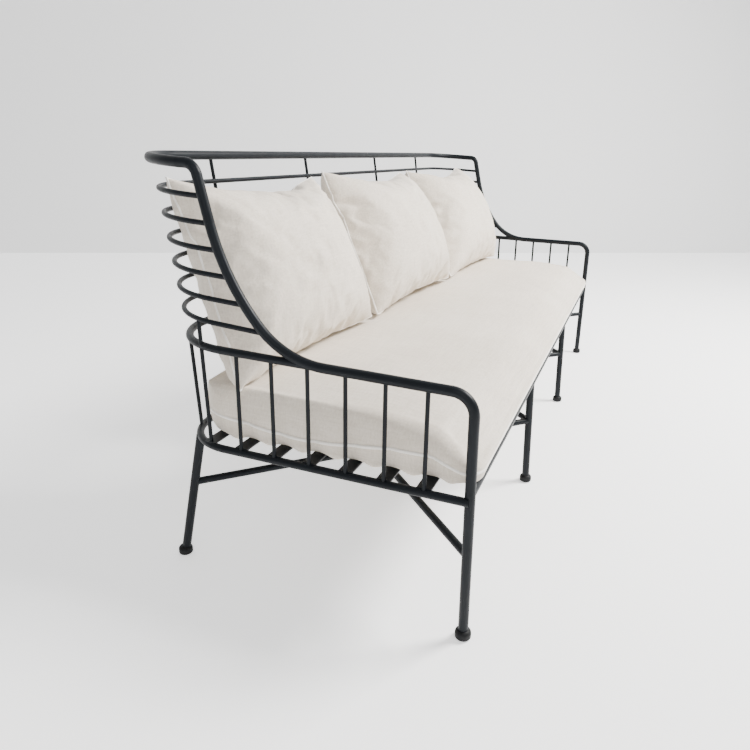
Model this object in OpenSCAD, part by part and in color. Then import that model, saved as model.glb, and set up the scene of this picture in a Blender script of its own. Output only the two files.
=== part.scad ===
/* [Overall size] */
// Length over the foot caps of the two end frames
overall_length = 1935; // [1800:5:2100]
// Depth from the front foot caps to the back of the top rail
overall_depth = 725; // [715:1:740]
// Height of the top of the top rail
overall_height = 860; // [850:1:875]

/* [Tubes and bars] */
// Diameter of the corner legs, arms and top rail
frame_tube_d = 19; // [17:0.5:21]
// Diameter of the seat rails, middle rail, cross bearers and stretchers
rail_tube_d = 16; // [14:0.5:17]
// Wall thickness of the tubes
tube_wall = 1.5; // [1:0.1:2.5]
// Diameter of the horizontal back rods
back_rod_d = 10; // [8:0.5:11]
// Diameter of the end balusters and back uprights
baluster_d = 8; // [6:0.5:9]
// Width of a seat slat
slat_w = 28; // [20:1:40]
// Thickness of a seat slat
slat_t = 3; // [2:0.5:3]

/* [Seat frame] */
// Height of the seat rails' centre line
seat_rail_z = 293; // [285:1:295]
// Distance that the end seat rails stand outside the arms' centre line
seat_rail_outset = 7.5; // [6:0.5:8]
// Bend radius of the seat rail at the rear corners
seat_rail_r = 121; // [110:1:130]
// Distance of the rear seat rail's centre line from the middle of the depth
seat_back_y = 283; // [280:1:286]
// Distance of the middle legs from the middle of the length
mid_leg_x = 317; // [280:1:340]
// Number of seat slats
slat_count = 7; // [5:1:7]

/* [End frames] */
// Height of the arm's centre line above the front leg
arm_front_z = 488; // [480:1:495]
// Rise of the arm towards the back, in degrees
arm_rise = 1.5; // [1:0.1:2]
// Bend radius at the front of the arm
arm_bend_r = 40; // [32:1:48]
// Place along the depth where the arm starts to sweep up
sweep_start_y = -68.5; // [-75:0.5:-62]
// Bend radius of the lower part of the sweep
sweep_low_r = 180; // [175:1:185]
// Slope at the end of the lower part of the sweep, in degrees
sweep_low_angle = 50; // [48:0.5:52]
// Bend radius of the upper part of the sweep
sweep_high_r = 420; // [400:5:440]
// Slope at the end of the upper part of the sweep, in degrees
sweep_high_angle = 77.5; // [76:0.5:79]
// Bend radius where the sweep turns into the top rail
sweep_top_r = 25; // [22:1:28]
// Number of balusters on each end
baluster_count = 6; // [4:1:6]
// Place along the depth of the front baluster
baluster_front_y = -264; // [-270:1:-255]
// Spacing of the balusters
baluster_pitch = 76.6; // [70:0.2:77]

/* [Back] */
// Fall of the top rail and back rods towards the front, in degrees
side_fall = 4.2; // [3:0.1:5]
// Bend radius of the top rail at the rear corners
top_rail_r = 145; // [138:1:147]
// Bend radius of the back rods
back_rod_r = 150; // [140:1:155]
// Bend radius of the middle rail
middle_rail_r = 157; // [150:1:160]
// Number of back rods
back_rod_count = 6; // [4:1:6]
// Height of the top back rod's centre line
back_rod_top_z = 796; // [790:1:800]
// Spacing of the back rods
back_rod_pitch = 46.3; // [44:0.1:47]
// Distances of the back uprights from the middle of the length
upright_x = [246, 671];

/* [Legs] */
// Height of the stretchers' centre line
stretcher_z = 181; // [150:1:220]
// Outside diameter of a foot cap
cap_d = 31; // [28:1:34]
// Height of a foot cap
cap_h = 19; // [16:1:22]
// Thickness of the foot cap below the end of the leg
cap_floor = 4; // [2:0.5:5]

/* [Cushions] */
// Length of the seat cushion
cushion_length = 1882; // [1700:2:1882]
// Height of the seat cushion's top at its crown
cushion_top_z = 436; // [410:1:437]
// Width of a back pillow
pillow_w = 590; // [500:2:596]
// Distance between the centres of neighbouring pillows
pillow_pitch = 606; // [600:1:608]
// Distance of the middle pillow from the middle of the length
pillow_shift = -18; // [-18:1:18]

/* [Hidden] */
$fn = 48;
sides = ["left", "right"];
bays = ["left", "middle", "right"];
function numbered(name, count) = [for (i = [1:count]) str(name, "_", i)];
function sided(name) = [for (side = sides) str(name, "_", side)];

steel_color = "#24282b";
cap_color = "#15171a";
linen_color = "#e4dfd6";

// Centre lines of the main frame
side_x = overall_length / 2 - cap_d / 2;
front_y = -overall_depth / 2 + cap_d / 2;
top_rail_y = overall_depth / 2 - frame_tube_d / 2;
top_rail_z = overall_height - frame_tube_d / 2;
seat_side_x = side_x + seat_rail_outset;

// Legs lean back a little towards the top
front_leg_lean = 0.4;
mid_leg_lean = 1.8;
function front_leg_y(z) = front_y + z * tan(front_leg_lean);
function mid_leg_y(z) = front_y + z * tan(mid_leg_lean);
front_rail_y = (front_leg_y(seat_rail_z) + mid_leg_y(seat_rail_z)) / 2;
rear_foot_y = 302;
mid_rear_foot_y = 328;

// Rear corner legs meet the seat rail in the middle of its corner bend
rear_leg_top = [
  seat_side_x - seat_rail_r * (1 - cos(45)),
  seat_back_y - seat_rail_r * (1 - sin(45)),
  seat_rail_z
];
rear_leg_foot = [side_x, rear_foot_y, cap_floor];
mid_rear_top = [mid_leg_x, seat_back_y, seat_rail_z];
mid_rear_foot = [mid_leg_x, mid_rear_foot_y, cap_floor];
function on_line(p, q, z) = p + (q - p) * (z - p.z) / (q.z - p.z);

// The back leans: every rail and rod of it lies on this line
back_slope = (top_rail_y - seat_back_y) / (top_rail_z - seat_rail_z);
function back_y(z) = seat_back_y + (z - seat_rail_z) * back_slope;

// Side view of an end tube: leg, bend, arm, two-radius sweep, bend into the top rail
arm_turn = 90 - front_leg_lean - arm_rise;
arm_tangent = arm_bend_r * tan(arm_turn / 2);
arm_corner_y = front_leg_y(arm_front_z);
function arm_z(y) = arm_front_z + (y - arm_corner_y) * tan(arm_rise);
sweep_low_z = arm_z(sweep_start_y);
sweep_mid_y = sweep_start_y + sweep_low_r * (sin(sweep_low_angle) - sin(arm_rise));
sweep_mid_z = sweep_low_z + sweep_low_r * (cos(arm_rise) - cos(sweep_low_angle));
sweep_end_y = sweep_mid_y + sweep_high_r * (sin(sweep_high_angle) - sin(sweep_low_angle));
sweep_end_z = sweep_mid_z + sweep_high_r * (cos(sweep_low_angle) - cos(sweep_high_angle));
sweep_run = (top_rail_z + (sweep_end_y - top_rail_y) * tan(side_fall) - sweep_end_z)
  / (sin(sweep_high_angle) - tan(side_fall) * cos(sweep_high_angle));
sweep_top_y = sweep_end_y + sweep_run * cos(sweep_high_angle);
top_turn = sweep_high_angle - side_fall;
top_tangent = sweep_top_r * tan(top_turn / 2);
top_joint_y = sweep_top_y + top_tangent * cos(side_fall);

// Run of a rising arc along the depth for a rise, from the slope where the arc starts
function arc_run(r, slope, rise) = r * (sin(acos(cos(slope) - rise / r)) - sin(slope));

// Place of the sweep along the depth at a height
function sweep_y(z) =
  z < sweep_mid_z ? sweep_start_y + arc_run(sweep_low_r, arm_rise, z - sweep_low_z)
  : z < sweep_end_z ? sweep_mid_y + arc_run(sweep_high_r, sweep_low_angle, z - sweep_mid_z)
  : sweep_end_y + (z - sweep_end_z) / tan(sweep_high_angle);

// A back rod's side run falls towards the front until it meets the sweep
function rod_z(i) = back_rod_top_z - i * back_rod_pitch;
function rod_end_y(i, y = 0, passes = 9) =
  passes == 0 ? y : rod_end_y(i, sweep_y(rod_z(i) + (y - back_y(rod_z(i))) * tan(side_fall)), passes - 1);

middle_rail_z = arm_z(back_y(arm_front_z));
middle_rail_y = back_y(middle_rail_z);

// Rods run in front of the uprights and both touch the back's middle plane
rod_offset = (back_rod_d + baluster_d) / 4 - 0.25;
slat_z = seat_rail_z + rail_tube_d / 2 - 1;

// Corner post and corner baluster stand on the seat rail's corner bend
post_angle = 16;
corner_baluster_angle = 65;
corner_baluster_top_angle = 52;
last_rod = back_rod_count - 1;

// Seat cushion outline at rising heights: [z, half length, front y, back y, front and rear corner radius]
cushion_half = cushion_length / 2;
cushion_layers = [
  [303.5, cushion_half - 6, -352, 266, 34, 100],
  [345, cushion_half, -362, 270, 40, 106],
  [376, cushion_half - 2, -312, 268, 40, 104],
  [411, cushion_half - 12, -215, 252, 50, 96],
  [cushion_top_z, cushion_half - 150, -110, 205, 80, 90]
];

// Back pillow seen from its end: [y, z, radius] of the rounds that its outline wraps
pillow_rounds = [[112, 480, 40], [250, 480, 40], [150, 620, 50], [280, 640, 30], [284, 786, 20]];

// Back pillow seen from above: its ends draw in towards the back, clear of the corner bends
pillow_front_y = 60;
pillow_corner_y = 178;
pillow_corner_cut = 122;
pillow_back_y = 312;
pillow_half = pillow_w / 2;
pillow_back_half = pillow_half - pillow_corner_cut;
pillow_plan = [
  [-pillow_half, pillow_front_y], [pillow_half, pillow_front_y],
  [pillow_half, pillow_corner_y], [pillow_back_half, pillow_corner_y + pillow_corner_cut],
  [pillow_back_half, pillow_back_y], [-pillow_back_half, pillow_back_y],
  [-pillow_back_half, pillow_corner_y + pillow_corner_cut], [-pillow_half, pillow_corner_y]
];

// Lengths of tube meet inside a collar that stands a hair proud of them, as a dressed weld does
joint_gap = 0.1;
joint_proud = 0.1;
joint_half = 1.5;

// A tube that follows straight [length] and bent [radius, left turn] steps from the origin along +X
module tube_run(steps, d, i = 0) {
  if (i < len(steps)) {
    s = steps[i];
    if (i > 0)
      translate([-joint_half, 0, 0]) rotate([0, 90, 0]) cylinder(h = 2 * joint_half, d = d + 2 * joint_proud);
    if (len(s) == 1) {
      first = i == 0 ? 0 : joint_gap;
      last = i == len(steps) - 1 ? 0 : joint_gap;
      translate([first, 0, 0]) rotate([0, 90, 0]) cylinder(h = s[0] - first - last, d = d);
      translate([s[0], 0, 0]) tube_run(steps, d, i + 1);
    } else {
      side = sign(s[1]) * s[0];
      start = s[1] > 0 ? -90 : 90 + s[1];
      translate([0, side, 0]) {
        rotate(start) rotate_extrude(angle = abs(s[1])) translate([s[0], 0]) circle(d = d);
        rotate(s[1]) translate([0, -side, 0]) tube_run(steps, d, i + 1);
      }
    }
  }
}

// The same run as a tube with an open bore
module hollow_run(steps, d) {
  difference() {
    tube_run(steps, d);
    tube_run(steps, d - 2 * tube_wall);
  }
}

// A straight round bar between two points
module bar(p, q, d) {
  v = q - p;
  translate(p) rotate([0, acos(v.z / norm(v)), atan2(v.y, v.x)]) cylinder(h = norm(v), d = d);
}

// A straight tube between two points
module straight_tube(p, q, d) {
  difference() {
    bar(p, q, d);
    bar(p, q, d - 2 * tube_wall);
  }
}

// Steps of a rail that runs back along one side, round both rear corners and forward again
function wrap_steps(half_x, side, r) = [[side], [r, -90], [2 * (half_x - r)], [r, -90], [side]];

// Puts a wrap rail's run at its height and lean, starting at its left front end
module wrap_place(half_x, y, z, fall, reach) {
  color(steel_color)
    translate([0, y, z]) rotate([fall, 0, 0]) translate([-half_x, -reach, 0]) rotate(90) children();
}

module wrap_tube(half_x, y, z, front_end_y, fall, r, d) {
  reach = (y - front_end_y) / cos(fall);
  wrap_place(half_x, y, z, fall, reach) hollow_run(wrap_steps(half_x, reach - r, r), d);
}

module end_tube(side) {
  steps = [
    [(arm_front_z - cap_floor) / cos(front_leg_lean) - arm_tangent],
    [arm_bend_r, -arm_turn],
    [(sweep_start_y - arm_corner_y) / cos(arm_rise) - arm_tangent],
    [sweep_low_r, sweep_low_angle - arm_rise],
    [sweep_high_r, sweep_high_angle - sweep_low_angle],
    [sweep_run - top_tangent],
    [sweep_top_r, -top_turn]
  ];
  color(steel_color)
    translate([side * side_x, front_leg_y(cap_floor), cap_floor])
      rotate([90, 0, 90]) rotate(90 - front_leg_lean) hollow_run(steps, frame_tube_d);
}

module top_rail() {
  wrap_tube(side_x, top_rail_y, top_rail_z, top_joint_y, side_fall, top_rail_r, frame_tube_d);
}

module middle_rail() {
  wrap_tube(side_x, middle_rail_y, middle_rail_z, sweep_start_y, arm_rise, middle_rail_r, rail_tube_d);
}

module seat_rail_rear() {
  wrap_tube(seat_side_x, seat_back_y, seat_rail_z, front_leg_y(seat_rail_z), 0, seat_rail_r, rail_tube_d);
}

module seat_rail_front() {
  end = [side_x, front_rail_y, seat_rail_z];
  color(steel_color) straight_tube([-end.x, end.y, end.z], end, rail_tube_d);
}

module back_rod(i) {
  y = back_y(rod_z(i)) - rod_offset;
  reach = (y - rod_end_y(i)) / cos(side_fall);
  wrap_place(side_x, y, rod_z(i), side_fall, reach)
    tube_run(wrap_steps(side_x, reach - back_rod_r, back_rod_r), back_rod_d);
}

module back_upright(x) {
  color(steel_color)
    bar([x, back_y(seat_rail_z) + rod_offset, seat_rail_z],
        [x, back_y(top_rail_z) + rod_offset, top_rail_z - frame_tube_d / 4], baluster_d);
}

module baluster(side, i) {
  y = baluster_front_y + i * baluster_pitch;
  color(steel_color) bar([side * seat_side_x, y, seat_rail_z], [side * side_x, y, arm_z(y)], baluster_d);
}

// Stands on the seat rail's corner bend and ends at the lowest back rod
module corner_post(side) {
  rod_y = back_y(rod_z(last_rod)) - rod_offset;
  top_y = rod_y - back_rod_r * (1 - sin(post_angle));
  top_x = side_x - back_rod_r * (1 - cos(post_angle));
  foot_x = seat_side_x - seat_rail_r * (1 - cos(post_angle));
  foot_y = seat_back_y - seat_rail_r * (1 - sin(post_angle));
  color(steel_color)
    bar([side * foot_x, foot_y, seat_rail_z],
        [side * top_x, top_y, rod_z(last_rod) + (top_y - rod_y) * tan(side_fall)], baluster_d);
}

module corner_baluster(side) {
  foot_x = seat_side_x - seat_rail_r * (1 - cos(corner_baluster_angle));
  foot_y = seat_back_y - seat_rail_r * (1 - sin(corner_baluster_angle));
  top_x = side_x - middle_rail_r * (1 - cos(corner_baluster_top_angle));
  top_y = middle_rail_y - middle_rail_r * (1 - sin(corner_baluster_top_angle));
  color(steel_color)
    bar([side * foot_x, foot_y, seat_rail_z],
        [side * top_x, top_y, middle_rail_z + (top_y - middle_rail_y) * tan(arm_rise)], baluster_d);
}

function mirror_x(p, side) = [side * p.x, p.y, p.z];

module mid_leg_front(side) {
  foot = [side * mid_leg_x, mid_leg_y(cap_floor), cap_floor];
  top = [side * mid_leg_x, mid_leg_y(seat_rail_z), seat_rail_z];
  color(steel_color) straight_tube(foot, top, frame_tube_d);
}

module mid_leg_rear(side) {
  color(steel_color) straight_tube(mirror_x(mid_rear_foot, side), mirror_x(mid_rear_top, side), frame_tube_d);
}

module corner_leg_rear(side) {
  color(steel_color) straight_tube(mirror_x(rear_leg_foot, side), mirror_x(rear_leg_top, side), frame_tube_d);
}

// Points of the four leg rows at the stretchers' height, from left to right
stretch_front = [
  [-side_x, front_leg_y(stretcher_z), stretcher_z],
  [-mid_leg_x, mid_leg_y(stretcher_z), stretcher_z],
  [mid_leg_x, mid_leg_y(stretcher_z), stretcher_z],
  [side_x, front_leg_y(stretcher_z), stretcher_z]
];
rear_corner_point = on_line(rear_leg_foot, rear_leg_top, stretcher_z);
rear_mid_point = on_line(mid_rear_foot, mid_rear_top, stretcher_z);
stretch_rear = [
  mirror_x(rear_corner_point, -1),
  mirror_x(rear_mid_point, -1),
  rear_mid_point,
  rear_corner_point
];

// The whole diagonal of a bay: it starts at the front leg nearer to the end of the daybed
module stretcher(bay) {
  near = bay < 2 ? bay : bay + 1;
  far = bay < 2 ? bay + 1 : bay;
  color(steel_color) straight_tube(stretch_front[near], stretch_rear[far], rail_tube_d);
}

// The other diagonal, cut where it crosses the whole one
module stretcher_halves(bay) {
  near = bay < 2 ? bay : bay + 1;
  far = bay < 2 ? bay + 1 : bay;
  color(steel_color) difference() {
    straight_tube(stretch_rear[near], stretch_front[far], rail_tube_d);
    bar(stretch_front[near], stretch_rear[far], rail_tube_d + 2 * joint_gap);
  }
}

module cross_bearer(side) {
  x = side * mid_leg_x;
  color(steel_color)
    straight_tube([x, mid_leg_y(seat_rail_z), seat_rail_z], [x, seat_back_y, seat_rail_z], rail_tube_d);
}

// A flat steel slat that lies on the end rails and the cross bearers
module seat_slat(i) {
  y = baluster_front_y + i * baluster_pitch;
  color(steel_color)
    translate([-seat_side_x, y - slat_w / 2, slat_z]) cube([2 * seat_side_x, slat_w, slat_t]);
}

// Half outline of a foot cap: a bun with a small foot radius and a larger shoulder
cap_r = cap_d / 2;
foot_round = 4;
shoulder_round = 8;
cap_outline = concat(
  [[0, 0]],
  [for (a = [-90:15:0]) [cap_r - foot_round + foot_round * cos(a), foot_round + foot_round * sin(a)]],
  [for (a = [0:15:75]) [
    cap_r - shoulder_round + shoulder_round * cos(a),
    cap_h - shoulder_round + shoulder_round * sin(a)
  ]],
  [[0, cap_h - shoulder_round + shoulder_round * sin(75)]]
);

// A cap under a leg, bored to the leg that stands in it
module foot_cap(foot, top) {
  color(cap_color) difference() {
    translate([foot.x, foot.y, 0]) rotate_extrude() polygon(cap_outline);
    bar(foot, top, frame_tube_d);
  }
}

module foot_caps_front() {
  for (side = [-1, 1]) {
    foot_cap([side * side_x, front_leg_y(cap_floor), cap_floor],
             [side * side_x, front_leg_y(seat_rail_z), seat_rail_z]);
    foot_cap([side * mid_leg_x, mid_leg_y(cap_floor), cap_floor],
             [side * mid_leg_x, mid_leg_y(seat_rail_z), seat_rail_z]);
  }
}

module foot_caps_rear() {
  for (side = [-1, 1]) {
    foot_cap(mirror_x(rear_leg_foot, side), mirror_x(rear_leg_top, side));
    foot_cap(mirror_x(mid_rear_foot, side), mirror_x(mid_rear_top, side));
  }
}

// A thin slice with rounded corners in plan, used to build up the seat cushion
slice_t = 0.5;
module cushion_slice(layer) {
  half = layer[1];
  front_r = layer[4];
  rear_r = layer[5];
  for (side = [-1, 1]) {
    translate([side * (half - front_r), layer[2] + front_r, layer[0] - slice_t])
      cylinder(h = slice_t, r = front_r, $fn = 32);
    translate([side * (half - rear_r), layer[3] - rear_r, layer[0] - slice_t])
      cylinder(h = slice_t, r = rear_r, $fn = 32);
  }
}

module seat_cushion() {
  color(linen_color) hull() for (layer = cushion_layers) cushion_slice(layer);
}

module back_pillow(place) {
  color(linen_color) translate([place * pillow_pitch + pillow_shift, 0, 0]) intersection() {
    translate([-pillow_half, 0, 0]) rotate([90, 0, 90]) linear_extrude(pillow_w)
      hull() for (round = pillow_rounds) translate([round[0], round[1]]) circle(r = round[2], $fn = 32);
    translate([0, 0, seat_rail_z]) linear_extrude(overall_height - seat_rail_z) polygon(pillow_plan);
  }
}

end_tube(-1);  // end_tube_left
end_tube(1);  // end_tube_right
top_rail();
middle_rail();
seat_rail_rear();
seat_rail_front();
for (i = [0:back_rod_count - 1])
  back_rod(i);
upright_places = [-upright_x[1], -upright_x[0], upright_x[0], upright_x[1]];
for (i = [0:len(upright_places) - 1])
  back_upright(upright_places[i]);
for (i = [0:baluster_count - 1]) {
  baluster(-1, i);
  baluster(1, i);
}
corner_post(-1);  // corner_post_left
corner_post(1);  // corner_post_right
corner_baluster(-1);  // corner_baluster_left
corner_baluster(1);  // corner_baluster_right
mid_leg_front(-1);  // mid_leg_front_left
mid_leg_front(1);  // mid_leg_front_right
mid_leg_rear(-1);  // mid_leg_rear_left
mid_leg_rear(1);  // mid_leg_rear_right
corner_leg_rear(-1);  // corner_leg_rear_left
corner_leg_rear(1);  // corner_leg_rear_right
for (bay = [0:len(bays) - 1]) {
  stretcher(bay);
  stretcher_halves(bay);
}
cross_bearer(-1);  // cross_bearer_left
cross_bearer(1);  // cross_bearer_right
for (i = [0:slat_count - 1])
  seat_slat(i);
foot_caps_front();
foot_caps_rear();
seat_cushion();
back_pillow(-1);  // back_pillow_left
back_pillow(0);  // back_pillow_middle
back_pillow(1);  // back_pillow_right
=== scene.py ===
import math

import bpy
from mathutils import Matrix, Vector, noise
from mathutils.bvhtree import BVHTree


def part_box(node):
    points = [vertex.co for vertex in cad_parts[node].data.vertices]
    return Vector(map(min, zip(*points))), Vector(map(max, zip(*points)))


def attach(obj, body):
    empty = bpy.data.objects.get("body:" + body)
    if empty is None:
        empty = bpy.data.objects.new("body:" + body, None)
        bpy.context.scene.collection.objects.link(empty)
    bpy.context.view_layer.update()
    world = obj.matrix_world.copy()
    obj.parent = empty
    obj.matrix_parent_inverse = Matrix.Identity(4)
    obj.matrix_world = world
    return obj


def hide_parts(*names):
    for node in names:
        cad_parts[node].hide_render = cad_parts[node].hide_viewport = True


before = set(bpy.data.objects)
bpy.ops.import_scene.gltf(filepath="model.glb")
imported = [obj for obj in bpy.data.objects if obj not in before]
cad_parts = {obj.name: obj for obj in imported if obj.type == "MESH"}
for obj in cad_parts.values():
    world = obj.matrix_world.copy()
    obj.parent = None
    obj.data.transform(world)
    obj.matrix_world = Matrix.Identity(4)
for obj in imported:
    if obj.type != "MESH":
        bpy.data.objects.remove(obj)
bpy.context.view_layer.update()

SCENE = bpy.context.scene

# ---------------------------------------------------------------- measures from the frame
CUSHION_LOW, CUSHION_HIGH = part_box("seat_cushion")
SLATS_Y = [sum(corner.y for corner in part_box(f"seat_slat_{number}")) / 2 for number in range(1, 8)]
SLAT_HALF = 0.016

# Back rods: radius, radius of their corner bends, and the gap that the pillows keep to them
ROD_R = 0.005
ROD_BEND_R = 0.150
ROD_GAP = 0.003

# The furthest right, furthest back and height of the lowest and the highest rod's centre line
LOW_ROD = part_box("back_rod_6")[1] - Vector((ROD_R, ROD_R, ROD_R))
HIGH_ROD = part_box("back_rod_1")[1] - Vector((ROD_R, ROD_R, ROD_R))


# ---------------------------------------------------------------- camera, floor and lights
CAMERA_PLACE = (-1.8438, -0.5551, 0.8508)
VIEW_AZIMUTH = math.radians(-66.5)
VIEW_DOWN = math.radians(19.98)
LENS, SENSOR = 29.04, 36.0

# The floor lies a hair below the feet, and the wall stands square to the view
FLOOR_Z = -0.0005
WALL_DISTANCE = 5.65
ROOM_SIZE = 40
FLOOR_COLOUR, FLOOR_GLOW = (0.93, 0.93, 0.93), 0.80
WALL_COLOUR, WALL_GLOW = (0.74, 0.74, 0.74), 0.36

SKY_COLOUR, SKY_STRENGTH = (0.97, 0.985, 1.0, 1), 0.62
LIT_PLACE = (0, 0, 0.45)


def make_camera():
    data = bpy.data.cameras.new("camera")
    data.lens = LENS
    data.sensor_width = SENSOR
    cam = bpy.data.objects.new("camera", data)
    SCENE.collection.objects.link(cam)
    level = math.cos(VIEW_DOWN)
    ahead = (-math.sin(VIEW_AZIMUTH) * level, math.cos(VIEW_AZIMUTH) * level)
    look = Vector((*ahead, -math.sin(VIEW_DOWN)))
    cam.location = CAMERA_PLACE
    cam.rotation_euler = look.to_track_quat("-Z", "Y").to_euler()
    SCENE.camera = cam


def add_area_light(name, place, size, power, tint):
    """A round soft light that shines on the middle of the object."""
    data = bpy.data.lights.new(name, "AREA")
    data.shape = "DISK"
    data.size = size
    data.energy = power
    data.color = tint
    lamp = bpy.data.objects.new(name, data)
    SCENE.collection.objects.link(lamp)
    lamp.location = place
    lamp.rotation_euler = (Vector(LIT_PLACE) - Vector(place)).to_track_quat("-Z", "Y").to_euler()


def plain_plane(name, place, turn, colour, glow):
    """A floor or a wall with a plain pale finish."""
    bpy.ops.mesh.primitive_plane_add(size=ROOM_SIZE, location=place, rotation=turn)
    plane = bpy.context.object
    plane.name = name
    material = bpy.data.materials.new(name)
    material.use_nodes = True
    shader = material.node_tree.nodes["Principled BSDF"]
    shader.inputs["Base Color"].default_value = (*colour, 1)
    shader.inputs["Roughness"].default_value = 0.95
    shader.inputs["Specular IOR Level"].default_value = 0.1
    shader.inputs["Emission Color"].default_value = (1, 1, 1, 1)
    shader.inputs["Emission Strength"].default_value = glow
    plane.data.materials.append(material)


def make_studio():
    world = bpy.data.worlds.new("studio")
    world.use_nodes = True
    background = world.node_tree.nodes["Background"]
    background.inputs["Color"].default_value = SKY_COLOUR
    background.inputs["Strength"].default_value = SKY_STRENGTH
    SCENE.world = world
    add_area_light("key_light", (1.1, -2.3, 2.9), 1.4, 385, (1.0, 0.985, 0.96))
    add_area_light("end_light", (-3.0, -0.9, 2.0), 2.0, 22, (1.0, 0.99, 0.97))
    plain_plane("studio_floor", (0, 0, FLOOR_Z), (0, 0, 0), FLOOR_COLOUR, FLOOR_GLOW)
    away = Vector((-math.sin(VIEW_AZIMUTH), math.cos(VIEW_AZIMUTH), 0))
    place = Vector((CAMERA_PLACE[0], CAMERA_PLACE[1], 0)) + away * WALL_DISTANCE
    upright = (math.radians(90), 0, VIEW_AZIMUTH)
    plain_plane("studio_wall", place, upright, WALL_COLOUR, WALL_GLOW)


# ---------------------------------------------------------------- materials
class Nodes:
    """A short way to wire a material's nodes."""

    def __init__(self, name):
        self.material = bpy.data.materials.new(name)
        self.material.use_nodes = True
        self.tree = self.material.node_tree
        self.shader = self.tree.nodes["Principled BSDF"]

    def add(self, kind, links=()):
        node = self.tree.nodes.new(kind)
        for socket, source in dict(links).items():
            self.tree.links.new(source, node.inputs[socket])
        return node

    def math(self, operation, a, b=0.0):
        node = self.add("ShaderNodeMath")
        node.operation = operation
        for i, value in enumerate((a, b)):
            if isinstance(value, (int, float)):
                node.inputs[i].default_value = value
            else:
                self.tree.links.new(value, node.inputs[i])
        return node.outputs[0]

    def ramp(self, factor, stops):
        node = self.add("ShaderNodeValToRGB", {"Fac": factor})
        ramp = node.color_ramp
        while len(ramp.elements) < len(stops):
            ramp.elements.new(0.5)
        for element, (place, colour) in zip(ramp.elements, stops):
            element.position = place
            element.color = (*colour, 1)
        return node.outputs["Color"]

    def place(self):
        return self.add("ShaderNodeTexCoord").outputs["Object"]

    def noise(self, scale, detail=3.0, vector=None):
        node = self.add("ShaderNodeTexNoise", {"Vector": vector or self.place()})
        node.inputs["Scale"].default_value = scale
        node.inputs["Detail"].default_value = detail
        return node.outputs["Fac"]

    def bump(self, height, distance, strength):
        node = self.add("ShaderNodeBump", {"Height": height})
        node.inputs["Distance"].default_value = distance
        node.inputs["Strength"].default_value = strength
        return node.outputs["Normal"]

    def out(self, socket, source):
        self.tree.links.new(source, self.shader.inputs[socket])

    def plain(self, **values):
        """Sets numbers that are the same all over, such as Sheen_Weight=0.25."""
        for socket, value in values.items():
            self.shader.inputs[socket.replace("_", " ")].default_value = value


def powder_coat():
    """Satin black powder coat: fine orange peel, soft mottling and a few rubbed patches."""
    n = Nodes("powder_coat")
    dark, light = (0.0028, 0.0042, 0.0062), (0.0048, 0.0068, 0.0095)
    mottle = n.noise(14.0, 4.0)
    n.out("Base Color", n.ramp(mottle, [(0.3, dark), (0.7, light)]))
    rub = n.noise(60.0, 6.0)
    n.out("Roughness", n.math("ADD", n.math("MULTIPLY", rub, 0.25), 0.30))
    peel = n.noise(1500.0, 2.0)
    n.out("Normal", n.bump(peel, 0.0002, 0.35))
    n.plain(Specular_IOR_Level=0.16)
    return n.material


def moulded_plastic():
    """Matt black foot caps with a fine moulded grain and uneven wear."""
    n = Nodes("moulded_plastic")
    dark, light = (0.003, 0.0035, 0.004), (0.007, 0.0075, 0.008)
    mottle = n.noise(30.0)
    n.out("Base Color", n.ramp(mottle, [(0.3, dark), (0.7, light)]))
    wear = n.noise(120.0)
    n.out("Roughness", n.math("ADD", n.math("MULTIPLY", wear, 0.2), 0.48))
    grain = n.noise(2200.0, 2.0)
    n.out("Normal", n.bump(grain, 0.0002, 0.5))
    n.plain(Specular_IOR_Level=0.2)
    return n.material


THREAD_PITCH = 0.0018
THREAD_WOBBLE = 0.0012
SLUB_LONG, SLUB_SHORT = 16.0, 260.0


def plain_weave(n):
    """A checker of threads, which reads the two axes that lie in the surface."""
    place = n.add("ShaderNodeSeparateXYZ", {"Vector": n.place()})
    normal = n.add("ShaderNodeNewGeometry").outputs["Normal"]
    facing = n.add("ShaderNodeSeparateXYZ", {"Vector": normal})
    wobble = n.math("MULTIPLY", n.noise(90.0, 2.0), THREAD_WOBBLE)
    threads = {}
    for axis in "XYZ":
        along = n.math("ADD", place.outputs[axis], wobble)
        threads[axis] = n.math("SINE", n.math("MULTIPLY", along, 2 * math.pi / THREAD_PITCH))
    weave = None
    for axis in "XYZ":
        first, second = [other for other in "XYZ" if other != axis]
        checker = n.math("MULTIPLY", threads[first], threads[second])
        weight = n.math("POWER", n.math("ABSOLUTE", facing.outputs[axis]), 2.0)
        part = n.math("MULTIPLY", checker, weight)
        weave = part if weave is None else n.math("ADD", weave, part)
    return weave


def thread_slubs(n):
    """Long thin streaks along each of the three axes."""
    streaks = []
    for axis in (0, 2, 1):
        mapping = n.add("ShaderNodeMapping", {"Vector": n.place()})
        for i in range(3):
            mapping.inputs["Scale"].default_value[i] = SLUB_LONG if i == axis else SLUB_SHORT
        streaks.append(n.noise(1.0, 2.0, mapping.outputs["Vector"]))
    total = n.math("ADD", n.math("ADD", streaks[0], streaks[1]), streaks[2])
    return n.math("MULTIPLY", total, 1 / 3)


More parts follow.
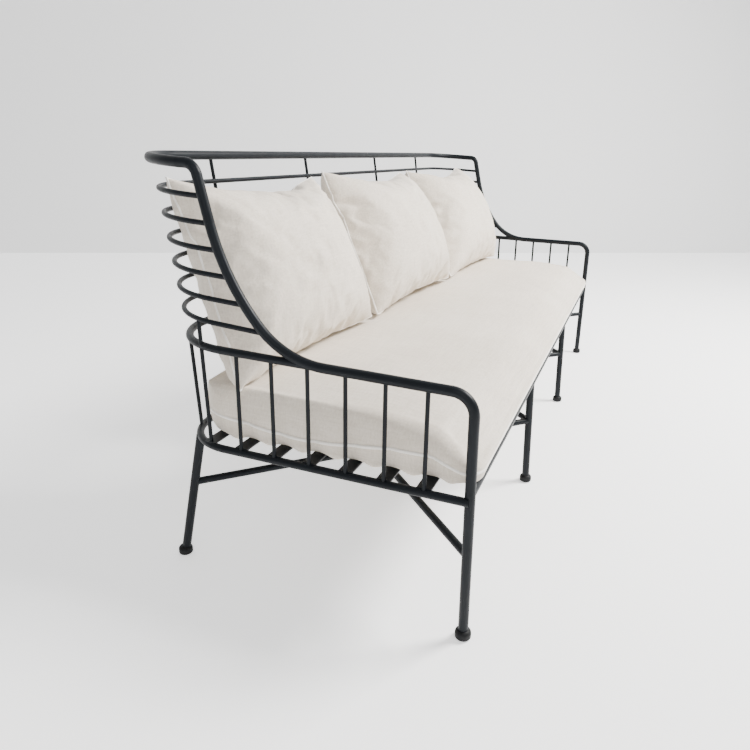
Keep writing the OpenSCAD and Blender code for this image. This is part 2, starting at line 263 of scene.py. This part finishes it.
def linen(name, light, dark, slub_relief):
    """Plain-woven linen whose threads run straight on every side of a cushion."""
    n = Nodes(name)
    weave, slubs = plain_weave(n), thread_slubs(n)
    cloud = n.noise(6.0, 5.0)
    tone = n.math("ADD", n.math("MULTIPLY", slubs, 0.75), n.math("MULTIPLY", cloud, 0.25))
    tone = n.math("ADD", tone, n.math("MULTIPLY", weave, 0.035))
    middle = [(a + b) / 2 for a, b in zip(light, dark)]
    n.out("Base Color", n.ramp(tone, [(0.36, dark), (0.5, middle), (0.64, light)]))
    relief = n.math("ADD", n.math("MULTIPLY", weave, 0.5), n.math("MULTIPLY", slubs, slub_relief))
    n.out("Normal", n.bump(relief, 0.0006, 0.55))
    n.plain(Roughness=0.92, Sheen_Weight=0.25, Sheen_Roughness=0.5, Specular_IOR_Level=0.2)
    return n.material


STEEL = powder_coat()
PLASTIC = moulded_plastic()
LINEN = linen("linen", (0.83, 0.755, 0.655), (0.63, 0.555, 0.46), 2.2)
# The piping's linen is painted lighter than the cover's: a painted highlight along the cord, not a
# paler cloth.
PIPING_PAINTED_HIGHLIGHT = linen("linen_piping_painted_highlight", (0.97, 0.93, 0.87), (0.88, 0.835, 0.77), 1.1)


def paint_frame():
    for name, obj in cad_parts.items():
        material = PLASTIC if name.startswith("foot_caps") else STEEL
        if not obj.material_slots:
            obj.data.materials.append(material)
        for slot in obj.material_slots:
            slot.material = material


# ---------------------------------------------------------------- curves used by the soft pieces
def rounded(u):
    """Rises from 0 to 1 like a quarter circle."""
    u = min(max(u, 0.0), 1.0)
    return math.sqrt(1 - (1 - u) ** 2)


def eased(u):
    """Rises from 0 to 1, level at both."""
    u = min(max(u, 0.0), 1.0)
    return u * u * (3 - 2 * u)


def crowd(u, amount=0.4):
    """Moves even steps from -1 to 1 towards both ends."""
    return u * (1 + amount) - amount * u ** 3


def soft_limit(value, limit, softness):
    """value, turned smoothly so that it never passes limit."""
    over = (value - limit) / softness
    if over < -6:
        return value
    return limit - softness * math.log1p(math.exp(-over))


# ---------------------------------------------------------------- sewn shells and the cloth solver
CLOTH_MASS = 0.3
CLOTH_DAMPING = 25.0
AIR_DAMPING = 2.0
CORD_PROUD = 0.8


def link_mesh(name, verts, faces):
    mesh = bpy.data.meshes.new(name)
    mesh.from_pydata(verts, [], faces)
    mesh.update()
    mesh.shade_smooth()
    obj = bpy.data.objects.new(name, mesh)
    SCENE.collection.objects.link(obj)
    return obj


def sewn_shell(name, nx, ny, point):
    """Two panels of nx by ny cells that share their outer edge.

    point(side, s, t) gives a place, and its side is 0 on the seam.
    """
    verts, faces, index = [], [], {}

    def corner(side, i, j):
        seam = i in (0, nx) or j in (0, ny)
        key = (0 if seam else side, i, j)
        if key not in index:
            index[key] = len(verts)
            verts.append(point(key[0], i / nx, j / ny))
        return index[key]

    for side in (-1, 1):
        for i in range(nx):
            for j in range(ny):
                cell = ((i, j), (i + 1, j), (i + 1, j + 1), (i, j + 1))
                quad = [corner(side, *place) for place in cell]
                faces.append(quad if side < 0 else quad[::-1])
    ring = [(i, 0) for i in range(nx)] + [(nx, j) for j in range(ny)]
    ring += [(i, ny) for i in range(nx, 0, -1)] + [(0, j) for j in range(ny, 0, -1)]
    return link_mesh(name, verts, faces), [index[(0, i, j)] for i, j in ring]


def inflate(obj, pressure, stiffness, bending, frames, pins=()):
    """Blows the shell up as cloth, with the pins held, and keeps the result as its mesh."""
    cloth = obj.modifiers.new("cloth", "CLOTH")
    settings = cloth.settings
    settings.quality = 5
    settings.mass = CLOTH_MASS
    settings.air_damping = AIR_DAMPING
    settings.tension_stiffness = stiffness
    settings.compression_stiffness = stiffness
    settings.shear_stiffness = stiffness / 3
    settings.bending_stiffness = bending
    for damping in ("tension_damping", "compression_damping", "shear_damping"):
        setattr(settings, damping, CLOTH_DAMPING)
    settings.use_pressure = True
    settings.uniform_pressure_force = pressure
    settings.effector_weights.gravity = 0.0
    if pins:
        group = obj.vertex_groups.new(name="pins")
        group.add(list(pins), 1.0, "REPLACE")
        settings.vertex_group_mass = "pins"
        settings.pin_stiffness = 2.0
    cloth.point_cache.frame_start = 1
    cloth.point_cache.frame_end = frames
    for number in range(1, frames + 1):
        SCENE.frame_set(number)
    shown = obj.evaluated_get(bpy.context.evaluated_depsgraph_get())
    points = [v.co.copy() for v in shown.data.vertices]
    obj.modifiers.remove(cloth)
    obj.vertex_groups.clear()
    for vertex, point in zip(obj.data.vertices, points):
        vertex.co = point
    SCENE.frame_set(1)


def cap_moves(obj, start, most):
    """Pulls back points that the solver moved too far."""
    for vertex, point in zip(obj.data.vertices, start):
        move = vertex.co - point
        if move.length > most:
            vertex.co = point + move.normalized() * most


def cord_along(name, cover, seam, radius, body):
    """A piping cord sewn into a cover's seam, standing proud of it."""
    cover.data.update()
    verts = [cover.data.vertices[i] for i in seam]
    points = [v.co + v.normal * radius * CORD_PROUD for v in verts]
    curve = bpy.data.curves.new(name, "CURVE")
    curve.dimensions = "3D"
    spline = curve.splines.new("POLY")
    spline.points.add(len(points) - 1)
    for target, point in zip(spline.points, points):
        target.co = (*point, 1)
    spline.use_cyclic_u = True
    curve.bevel_depth = radius
    curve.bevel_resolution = 3
    obj = bpy.data.objects.new(name, curve)
    SCENE.collection.objects.link(obj)
    # Its lighter linen is a painted highlight on the cord.
    obj.data.materials.append(PIPING_PAINTED_HIGHLIGHT)
    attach(obj, body)


def finish_soft(obj, body, node):
    """Smooths a sewn cover and lets it stand for its plain node."""
    obj.data.materials.append(LINEN)
    step = obj.modifiers.new("smooth", "SUBSURF")
    step.levels = step.render_levels = 1
    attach(obj, body)
    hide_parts(node)


# ---------------------------------------------------------------- seat cushion
# The sewn shape lies just inside the space that the frame leaves
CUSHION_HALF = (CUSHION_HIGH.x - CUSHION_LOW.x) / 2 - 0.0055
CUSHION_FRONT, CUSHION_BACK = CUSHION_LOW.y + 0.005, CUSHION_HIGH.y - 0.005
CUSHION_TOP = CUSHION_HIGH.z - 0.0015
CUSHION_BOTTOM = CUSHION_LOW.z + 0.001
FRONT_CORNER_R, REAR_CORNER_R = 0.042, 0.104

# Heights of the seam: level along the front and back, a wave round a middle height at the ends,
# and lower at the front corners
SEAM_SIDE_Z, SEAM_END_Z, SEAM_FRONT_Z = 0.348, 0.343, 0.329
SEAM_WAVE, SEAM_WAVE_LONG, SEAM_WAVE_CREST = 0.009, 0.45, 0.22
SEAM_END_REACH, SEAM_END_BLEND = 0.16, 0.12
SEAM_FRONT_Y, SEAM_FRONT_BLEND = -0.26, 0.085

# The top rises fast near an edge, then slowly: each share of the rise, and how far in each one reaches
FAST, SLOW = 0.80, 0.20
END_FAST, END_SLOW = 0.040, 0.17
BACK_FAST, BACK_SLOW = 0.030, 0.10
FRONT_SLOPE, FRONT_POWER = 0.26, 1.25
FRONT_ROLL = 0.05
CROWN_SINK = 0.003
DENT, DENT_FADE = 0.0022, 0.08

# The overhanging ends hang down between the slats
END_SAG, SAG_BLEND = 0.011, 0.018
OVERHANG, OVERHANG_BLEND = 0.05, 0.04
SAG_FROM_FRONT, SAG_FROM_BACK, SAG_END_BLEND = 0.03, 0.05, 0.03

DIMPLE_DEPTH, DIMPLE_Z = 0.0055, 0.350
DIMPLE_HALF_Y, DIMPLE_HALF_Z = 0.013, 0.032

SEAT_CELLS = (150, 60)
SEAT_MOST_MOVE = 0.006
SEAT_PIPING_R = 0.0034


def cushion_plan(s, t):
    """Bends a square grid to the cushion's outline, and gives the distance in from the outline."""
    middle = (CUSHION_FRONT + CUSHION_BACK) / 2
    half_y = (CUSHION_BACK - CUSHION_FRONT) / 2
    x, y = crowd(2 * s - 1) * CUSHION_HALF, crowd(2 * t - 1) * half_y
    corner = FRONT_CORNER_R if y < 0 else REAR_CORNER_R
    over_x, over_y = abs(x) - (CUSHION_HALF - corner), abs(y) - (half_y - corner)
    if over_x > 0 and over_y > 0:
        shrink = max(over_x, over_y) / math.hypot(over_x, over_y)
        x = math.copysign(CUSHION_HALF - corner + over_x * shrink, x)
        y = math.copysign(half_y - corner + over_y * shrink, y)
        edge = corner - max(over_x, over_y)
    else:
        edge = min(CUSHION_HALF - abs(x), half_y - abs(y))
    return x, y + middle, edge


def seat_seam_z(x, y):
    """The piping waves a little along the ends and dips to the front corners."""
    wave = SEAM_END_Z + SEAM_WAVE * math.cos(2 * math.pi * (y - SEAM_WAVE_CREST) / SEAM_WAVE_LONG)
    at_end = eased((abs(x) - CUSHION_HALF + SEAM_END_REACH) / SEAM_END_BLEND)
    height = SEAM_SIDE_Z + (wave - SEAM_SIDE_Z) * at_end
    return height + (SEAM_FRONT_Z - height) * eased((SEAM_FRONT_Y - y) / SEAM_FRONT_BLEND)


def cushion_top_z(x, y, edge, seam):
    """The crowned top, which slopes down further to the front, with a few shallow dents."""
    end = CUSHION_HALF - abs(x)
    front, back = y - CUSHION_FRONT, CUSHION_BACK - y
    rise = FAST * rounded(end / END_FAST) + SLOW * eased(end / END_SLOW)
    rise *= FAST * rounded(back / BACK_FAST) + SLOW * eased(back / BACK_SLOW)
    rise *= rounded(front / FRONT_SLOPE) ** FRONT_POWER
    rise = min(rise, rounded(edge / FRONT_ROLL) if front < FRONT_ROLL else 1.0)
    dent = noise.noise(Vector((x * 3.1, y * 4.3, 2.0)))
    dent += 0.5 * noise.noise(Vector((x * 8.0, y * 9.0, 5.0)))
    return seam + (CUSHION_TOP - seam - CROWN_SINK) * rise + DENT * dent * eased(edge / DENT_FADE)


def cushion_bottom_z(x, y):
    """Flat on the slats, and sagging between them where the ends stick out over the seat rail."""
    overhang = eased((abs(x) - CUSHION_HALF + OVERHANG) / OVERHANG_BLEND)
    off_slat = eased((min(abs(y - slat_y) for slat_y in SLATS_Y) - SLAT_HALF) / SAG_BLEND)
    inside = eased((y - CUSHION_FRONT - SAG_FROM_FRONT) / SAG_END_BLEND)
    inside *= eased((CUSHION_BACK - SAG_FROM_BACK - y) / SAG_END_BLEND)
    return CUSHION_BOTTOM - END_SAG * overhang * off_slat * inside


def seat_point(side, s, t):
    """A place on the cushion's underside (-1), seam (0) or top (1)."""
    x, y, edge = cushion_plan(s, t)
    seam = seat_seam_z(x, y)
    if side > 0:
        return (x, y, cushion_top_z(x, y, edge, seam))
    if side < 0:
        inward = 1 - 0.004 * rounded(edge / 0.012) * eased((0.05 - edge) / 0.05)
        drop = seam - cushion_bottom_z(x, y)
        return (x * inward, y, seam - drop * rounded(edge / 0.010) ** 0.5)
    return (x, y, seam)


def press_dimples(obj):
    """Each baluster leaves a shallow dimple in the cushion's end."""
    for side, name in ((-1, "left"), (1, "right")):
        for number in range(1, 7):
            low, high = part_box(f"baluster_{name}_{number}")
            middle = (low.y + high.y) / 2
            for v in obj.data.vertices:
                if v.co.x * side > CUSHION_HALF - 0.03:
                    off_y = (v.co.y - middle) / DIMPLE_HALF_Y
                    off_z = (v.co.z - DIMPLE_Z) / DIMPLE_HALF_Z
                    v.co.x -= side * DIMPLE_DEPTH * math.exp(-off_y ** 2 - off_z ** 2)


def make_seat():
    """Makes the seat cushion and returns its surface, on which the pillows rest."""
    obj, seam = sewn_shell("seat_cushion_cover", *SEAT_CELLS, seat_point)
    start = [v.co.copy() for v in obj.data.vertices]
    inflate(obj, pressure=2.5, stiffness=30, bending=0.5, frames=10, pins=seam)
    cap_moves(obj, start, SEAT_MOST_MOVE)
    press_dimples(obj)
    for v in obj.data.vertices:
        v.co.x = math.copysign(soft_limit(abs(v.co.x), CUSHION_HALF + 0.001, 0.0012), v.co.x)
        v.co.z = max(v.co.z, cushion_bottom_z(v.co.x, v.co.y))
    cord_along("seat_piping", obj, seam, SEAT_PIPING_R, "seat_cushion")
    finish_soft(obj, "seat_cushion", "seat_cushion")
    places = [v.co.copy() for v in obj.data.vertices]
    return BVHTree.FromPolygons(places, [tuple(p.vertices) for p in obj.data.polygons])


# ---------------------------------------------------------------- back pillows
# The flat cut of a cover, and half the thickness of a full pillow
PILLOW_W, PILLOW_H = 0.62, 0.46
HALF_THICK = 0.105
PILLOW_CELLS = (84, 62)
PILLOW_PIPING_R = 0.0024

# How much of the solver's pull the filling leaves, and how blunt the side against the rods is
PULL_ACROSS, PULL_UP, PLUMP = 0.50, 0.80, 0.92
BACK_BLUNT = 0.70

# The side seams bow back, and the bottom seam keeps a part of its drawn-in curve
SEAM_BOW = 0.010
BOTTOM_DRAW = 0.15

# Creases start just inside the side seams and die out inwards and near the corners
PUCKER, PUCKER_REACH, PUCKER_END = 0.015, 0.075, 0.10
SEAM_ALLOWANCE = 0.012

# How softly a pillow bends where it meets the rods, their corner bends and the seat
ROD_SOFTNESS, BEND_SOFTNESS, SEAT_SOFTNESS = 0.010, 0.006, 0.007
SEAT_GAP = 0.0025

# Seam corners of each pillow: top left, top right, bottom right, bottom left
PILLOWS = {
    "left": (
        (-0.888, 0.300, 0.817), (-0.335, 0.288, 0.796), (-0.388, 0.085, 0.440), (-0.926, 0.140, 0.405)
    ),
    "middle": (
        (-0.267, 0.292, 0.810), (0.317, 0.288, 0.798), (0.237, 0.060, 0.437), (-0.362, 0.083, 0.437)
    ),
    "right": (
        (0.388, 0.290, 0.796), (0.882, 0.240, 0.802), (0.880, 0.044, 0.422), (0.255, 0.060, 0.437)
    ),
}


def rod_line(z):
    """The back rods' centre line behind the pillows, at a height."""
    share = (z - LOW_ROD.z) / (HIGH_ROD.z - LOW_ROD.z)
    return LOW_ROD.y + share * (HIGH_ROD.y - LOW_ROD.y)


def keep_before_rods(place):
    """Presses a point of a pillow in front of the rods and inside their corner bends."""
    reach = ROD_R + ROD_GAP
    place.y = soft_limit(place.y, rod_line(place.z) - reach, ROD_SOFTNESS)
    bend_x, bend_y = LOW_ROD.x - ROD_BEND_R, rod_line(place.z) - ROD_BEND_R
    out_x, out_y = abs(place.x) - bend_x, place.y - bend_y
    if out_x > 0 and out_y > 0:
        radius = math.hypot(out_x, out_y)
        scale = soft_limit(radius, ROD_BEND_R - reach, BEND_SOFTNESS) / max(radius, 1e-6)
        place.x = math.copysign(bend_x + out_x * scale, place.x)
        place.y = bend_y + out_y * scale


def rest_on_seat(place, seat):
    """Keeps a point of a pillow just above the seat cushion."""
    hit = seat.ray_cast(Vector((place.x, place.y, 1.0)), Vector((0, 0, -1)))[0]
    if hit:
        place.z = -soft_limit(-place.z, -hit.z - SEAT_GAP, SEAT_SOFTNESS)


def pucker(across, up, side, seed):
    """Short creases that run in from a pillow's side seams."""
    inward = PILLOW_W / 2 - abs(across)
    fade = math.exp(-(inward / PUCKER_REACH) ** 2) * eased(inward / SEAM_ALLOWANCE)
    fade *= eased((PILLOW_H / 2 - abs(up)) / PUCKER_END)
    fold = noise.noise(Vector((inward * 7 + side * 4, up * 26 + across * 3, seed)))
    return PUCKER * fade * (0.35 - 1.6 * abs(fold))


def blow_up(obj, seed):
    """Inflates a flat cover, and draws the result back towards the cut."""
    flat = [v.co.copy() for v in obj.data.vertices]
    inflate(obj, pressure=4, stiffness=18, bending=0.05, frames=26)
    for v, cut in zip(obj.data.vertices, flat):
        v.co.x = cut.x + (v.co.x - cut.x) * PULL_ACROSS
        v.co.z = cut.z + (v.co.z - cut.z) * PULL_UP
        side = math.copysign(1, v.co.y)
        thick = abs(v.co.y) * PLUMP
        if side < 0:
            thick = HALF_THICK * (thick / HALF_THICK) ** BACK_BLUNT
        v.co.y = side * (thick + pucker(cut.x, cut.z, side, seed))


def make_pillow(key, seed, seat):
    """Blows up a flat cover and lays it between its four corners, against the rods and the seat."""
    nx, ny = PILLOW_CELLS

    def point(side, s, t):
        swell = (1 - (2 * s - 1) ** 2) * (1 - (2 * t - 1) ** 2)
        grain = noise.noise(Vector((s * 14 + seed, t * 14, side * 3.0)))
        return ((s - 0.5) * PILLOW_W, side * swell * (0.03 + 0.010 * grain), (t - 0.5) * PILLOW_H)

    obj, seam = sewn_shell(f"pillow_{key}_cover", nx, ny, point)
    blow_up(obj, seed)
    verts = obj.data.vertices
    half_w = max(abs(v.co.x) for v in verts)
    half_h = max(abs(v.co.z) for v in verts)
    bottom = {}
    for i in seam[:nx]:
        bottom[round((verts[i].co.x / half_w + 1) * nx / 2)] = verts[i].co.z / (2 * half_h) + 0.5
    low_edge = [bottom.get(i, 0.0) for i in range(nx + 1)]
    top_left, top_right, low_right, low_left = [Vector(corner) for corner in PILLOWS[key]]
    across = (top_right - top_left + low_right - low_left).normalized()
    up = (top_left - low_left + top_right - low_right).normalized()
    out = across.cross(up).normalized()
    for v in verts:
        s, t = v.co.x / (2 * half_w) + 0.5, v.co.z / (2 * half_h) + 0.5
        draw = low_edge[min(max(round(s * nx), 0), nx)]
        t -= (1 - BOTTOM_DRAW) * draw * (1 - t) ** 2
        place = low_left.lerp(low_right, s).lerp(top_left.lerp(top_right, s), t) + out * v.co.y
        place.y += SEAM_BOW * math.sin(math.pi * min(max(t, 0), 1)) * (2 * s - 1) ** 2
        keep_before_rods(place)
        rest_on_seat(place, seat)
        v.co = place
    body = f"pillow_{key}"
    cord_along(f"pillow_{key}_piping", obj, seam, PILLOW_PIPING_R, body)
    finish_soft(obj, body, f"back_pillow_{key}")


# ---------------------------------------------------------------- the whole scene
make_camera()
make_studio()
paint_frame()
seat_surface = make_seat()
for number, key in enumerate(PILLOWS):
    make_pillow(key, 7.3 * number, seat_surface)
